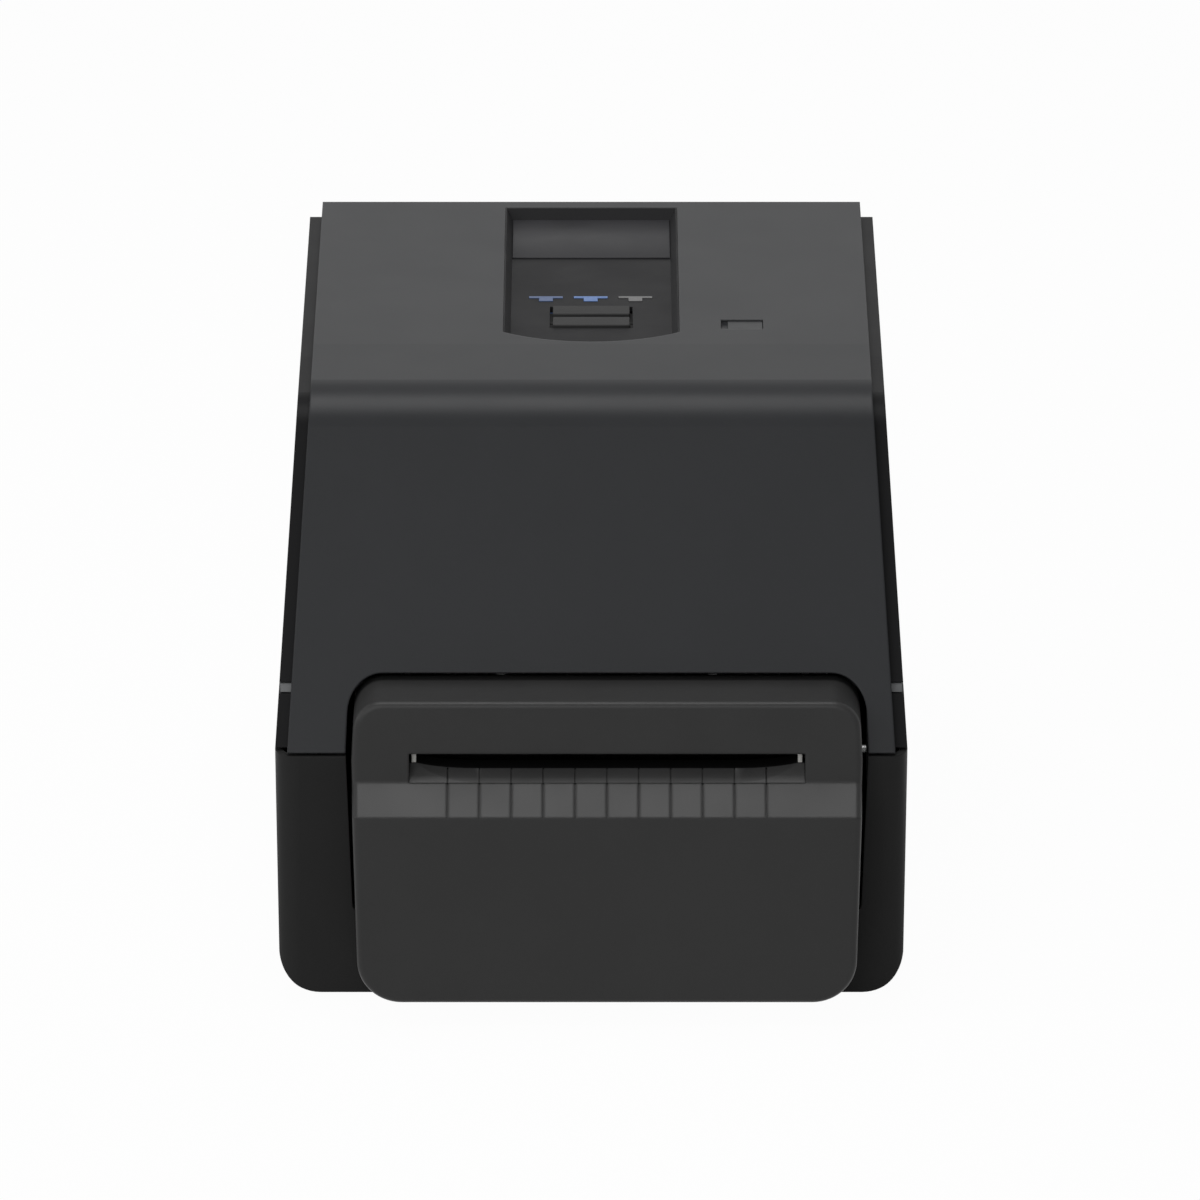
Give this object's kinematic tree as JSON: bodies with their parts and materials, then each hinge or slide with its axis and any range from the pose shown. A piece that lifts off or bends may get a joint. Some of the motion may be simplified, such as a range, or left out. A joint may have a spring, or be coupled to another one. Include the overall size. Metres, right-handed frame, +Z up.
{
  "type": "thermal transfer printer",
  "caption": "Desktop thermal transfer label printer with a hinged one-piece cover, a recessed control panel, ribbon spindles, a label roll bay and a front cutter module.",
  "frame": {"origin": "centre of the bounding box, on the plane the feet stand on", "axes": "+Z up, +Y from the front label slot towards the rear sockets, +X to the right seen from the front"},
  "size_m": [0.206, 0.287, 0.1887],
  "materials": {
    "case_plastic": "fine matt grain",
    "cover_plastic": "fine matt grain",
    "cheek_plastic": "fine matt grain",
    "module_plastic": "fine matt grain",
    "badge": "dark brushed",
    "button_grey": "satin",
    "tray_plastic": "matt",
    "plate_plastic": "satin",
    "lens": "milky",
    "key_rubber": "matt",
    "board": "solder resist",
    "arm_plastic": "moulded",
    "sheet_steel": "zinc plated",
    "spindle_plastic": "moulded",
    "motor_steel": "plated",
    "gear_plastic": "natural acetal",
    "head_metal": "cast",
    "shaft_steel": "ground",
    "spring_steel": "wire",
    "foot_rubber": "matt",
    "screw_steel": "zinc plated",
    "platen_rubber": "ground",
    "bush_plastic": "moulded",
    "sensor_plastic": "moulded",
    "holder_plastic": "moulded",
    "guide_plastic": "natural",
    "blade_steel": "ground",
    "socket_plastic": "moulded",
    "socket_metal": "plated",
    "rocker_plastic": "moulded"
  },
  "bodies": {
    "base": {"lower_case": "case_plastic", "rubber_feet": "foot_rubber", "side_frame_left": "sheet_steel", "side_frame_right": "sheet_steel", "frame_screws": "screw_steel", "platen_bushes": "bush_plastic", "idler_post": "shaft_steel", "stepper_motor": "motor_steel", "media_deck": "arm_plastic", "media_rods": "shaft_steel", "media_tray": "arm_plastic", "cutter_cover": "module_plastic", "exit_ramp": "module_plastic", "slot_guides": "guide_plastic", "cutter_frame": "sheet_steel", "cutter_motor": "motor_steel", "hinge_brackets": "sheet_steel", "latch_catches": "shaft_steel", "main_board": "board", "power_inlet": "socket_plastic", "data_sockets": "socket_metal", "power_switch": "socket_plastic"},
    "cover": {"cover_panel": "cover_plastic", "badge_inset": "badge", "cover_cheek_left": "cheek_plastic", "cover_cheek_right": "cheek_plastic", "panel_tray": "tray_plastic", "name_plate": "plate_plastic", "indicator_lenses": "lens", "panel_board": "board", "hinge_arms": "arm_plastic", "ribbon_frame_left": "sheet_steel", "ribbon_frame_right": "sheet_steel", "ribbon_bridge": "arm_plastic", "ribbon_motor": "motor_steel", "spring_bar": "sheet_steel", "head_springs": "spring_steel", "head_pivot_pin": "shaft_steel"},
    "release_left": {"release_button_left": "button_grey"},
    "release_right": {"release_button_right": "button_grey"},
    "latch": {"latch_hooks": "arm_plastic"},
    "feed": {"feed_button": "key_rubber"},
    "pause": {"pause_button": "key_rubber"},
    "supply": {"ribbon_supply_spindle": "spindle_plastic"},
    "takeup": {"ribbon_takeup_spindle": "spindle_plastic"},
    "ribbon_drive": {"ribbon_motor_pinion": "gear_plastic"},
    "head": {"print_head": "head_metal", "head_bracket": "sheet_steel"},
    "platen": {"platen_shaft": "shaft_steel", "platen_roller": "platen_rubber"},
    "idler": {"idler_gear": "gear_plastic"},
    "platen_drive": {"motor_pinion": "gear_plastic"},
    "holder_left": {"media_holder_left": "holder_plastic"},
    "holder_right": {"media_holder_right": "holder_plastic"},
    "holder_drive": {"holder_pinion": "gear_plastic"},
    "sensor": {"media_sensor": "sensor_plastic"},
    "blade": {"moving_blade": "blade_steel"},
    "blade_drive": {"cutter_pinion": "gear_plastic"},
    "rocker": {"power_rocker": "rocker_plastic"}
  },
  "joints": [
    {"name": "cover_hinge", "type": "hinge", "parent": "base", "child": "cover", "pos_m": [0, 0.139, 0.0905], "axis": [-1, 0, 0], "range_deg": [0, 95]},
    {"name": "release_left_press", "type": "slide", "parent": "cover", "child": "release_left", "axis": [1, 0, 0], "range_m": [0, 0.002], "stiffness_N_per_m": 600, "springref_m": -0.002},
    {"name": "release_right_press", "type": "slide", "parent": "cover", "child": "release_right", "axis": [-1, 0, 0], "range_m": [0, 0.002], "stiffness_N_per_m": 600, "springref_m": -0.002},
    {"name": "latch_turn", "type": "hinge", "parent": "cover", "child": "latch", "pos_m": [0, -0.095, 0.101], "axis": [-1, 0, 0], "range_deg": [0, 10]},
    {"name": "feed_press", "type": "slide", "parent": "cover", "child": "feed", "axis": [0, 0, -1], "range_m": [0, 0.0008], "stiffness_N_per_m": 1500, "springref_m": -0.0005},
    {"name": "pause_press", "type": "slide", "parent": "cover", "child": "pause", "axis": [0, 0, -1], "range_m": [0, 0.0008], "stiffness_N_per_m": 1500, "springref_m": -0.0005},
    {"name": "supply_spin", "type": "hinge", "parent": "cover", "child": "supply", "pos_m": [0, -0.022, 0.152], "axis": [1, 0, 0], "continuous": true},
    {"name": "takeup_spin", "type": "hinge", "parent": "cover", "child": "takeup", "pos_m": [0, -0.066, 0.127], "axis": [1, 0, 0], "continuous": true},
    {"name": "ribbon_pinion_spin", "type": "hinge", "parent": "cover", "child": "ribbon_drive", "pos_m": [0, -0.04594, 0.11242], "axis": [1, 0, 0], "continuous": true},
    {"name": "head_pivot", "type": "hinge", "parent": "cover", "child": "head", "pos_m": [0, -0.058, 0.097], "axis": [-1, 0, 0], "range_deg": [0, 3], "stiffness_Nm_per_rad": 5, "springref_deg": -2.86, "deforming": ["head_springs"]},
    {"name": "platen_spin", "type": "hinge", "parent": "base", "child": "platen", "pos_m": [0, -0.084, 0.0775], "axis": [1, 0, 0], "continuous": true},
    {"name": "idler_spin", "type": "hinge", "parent": "base", "child": "idler", "pos_m": [0, -0.066, 0.0535], "axis": [1, 0, 0], "continuous": true},
    {"name": "motor_spin", "type": "hinge", "parent": "base", "child": "platen_drive", "pos_m": [0, -0.0516, 0.0343], "axis": [1, 0, 0], "continuous": true},
    {"name": "holder_left_slide", "type": "slide", "parent": "base", "child": "holder_left", "axis": [1, 0, 0], "range_m": [0, 0.044]},
    {"name": "holder_right_slide", "type": "slide", "parent": "base", "child": "holder_right", "axis": [1, 0, 0], "range_m": [-0.044, 0]},
    {"name": "holder_pinion_spin", "type": "hinge", "parent": "base", "child": "holder_drive", "pos_m": [0.0051, 0.045, 0.0095], "axis": [0, 0, 1], "range_deg": [-320, 320]},
    {"name": "sensor_slide", "type": "slide", "parent": "base", "child": "sensor", "axis": [1, 0, 0], "range_m": [-0.02, 0.02]},
    {"name": "blade_slide", "type": "slide", "parent": "base", "child": "blade", "axis": [0, 0, 1], "range_m": [0, 0.007]},
    {"name": "blade_pinion_spin", "type": "hinge", "parent": "base", "child": "blade_drive", "pos_m": [0, -0.1048, 0.058], "axis": [1, 0, 0], "range_deg": [-70, 70]},
    {"name": "rocker_tilt", "type": "hinge", "parent": "base", "child": "rocker", "pos_m": [-0.03, 0.1365, 0.024], "axis": [1, 0, 0], "range_deg": [-8, 8]}
  ],
  "couplings": [
    {"joint": "release_right_press", "follows": "release_left_press", "ratio": 1},
    {"joint": "latch_turn", "follows": "release_left_press", "rad_per_m": 87},
    {"joint": "ribbon_pinion_spin", "follows": "takeup_spin", "ratio": -3.4286},
    {"joint": "idler_spin", "follows": "platen_spin", "ratio": -0.66667},
    {"joint": "motor_spin", "follows": "platen_spin", "ratio": 2},
    {"joint": "holder_right_slide", "follows": "holder_left_slide", "ratio": -1},
    {"joint": "holder_pinion_spin", "follows": "holder_left_slide", "rad_per_m": 125},
    {"joint": "blade_pinion_spin", "follows": "blade_slide", "rad_per_m": -166.67}
  ]
}
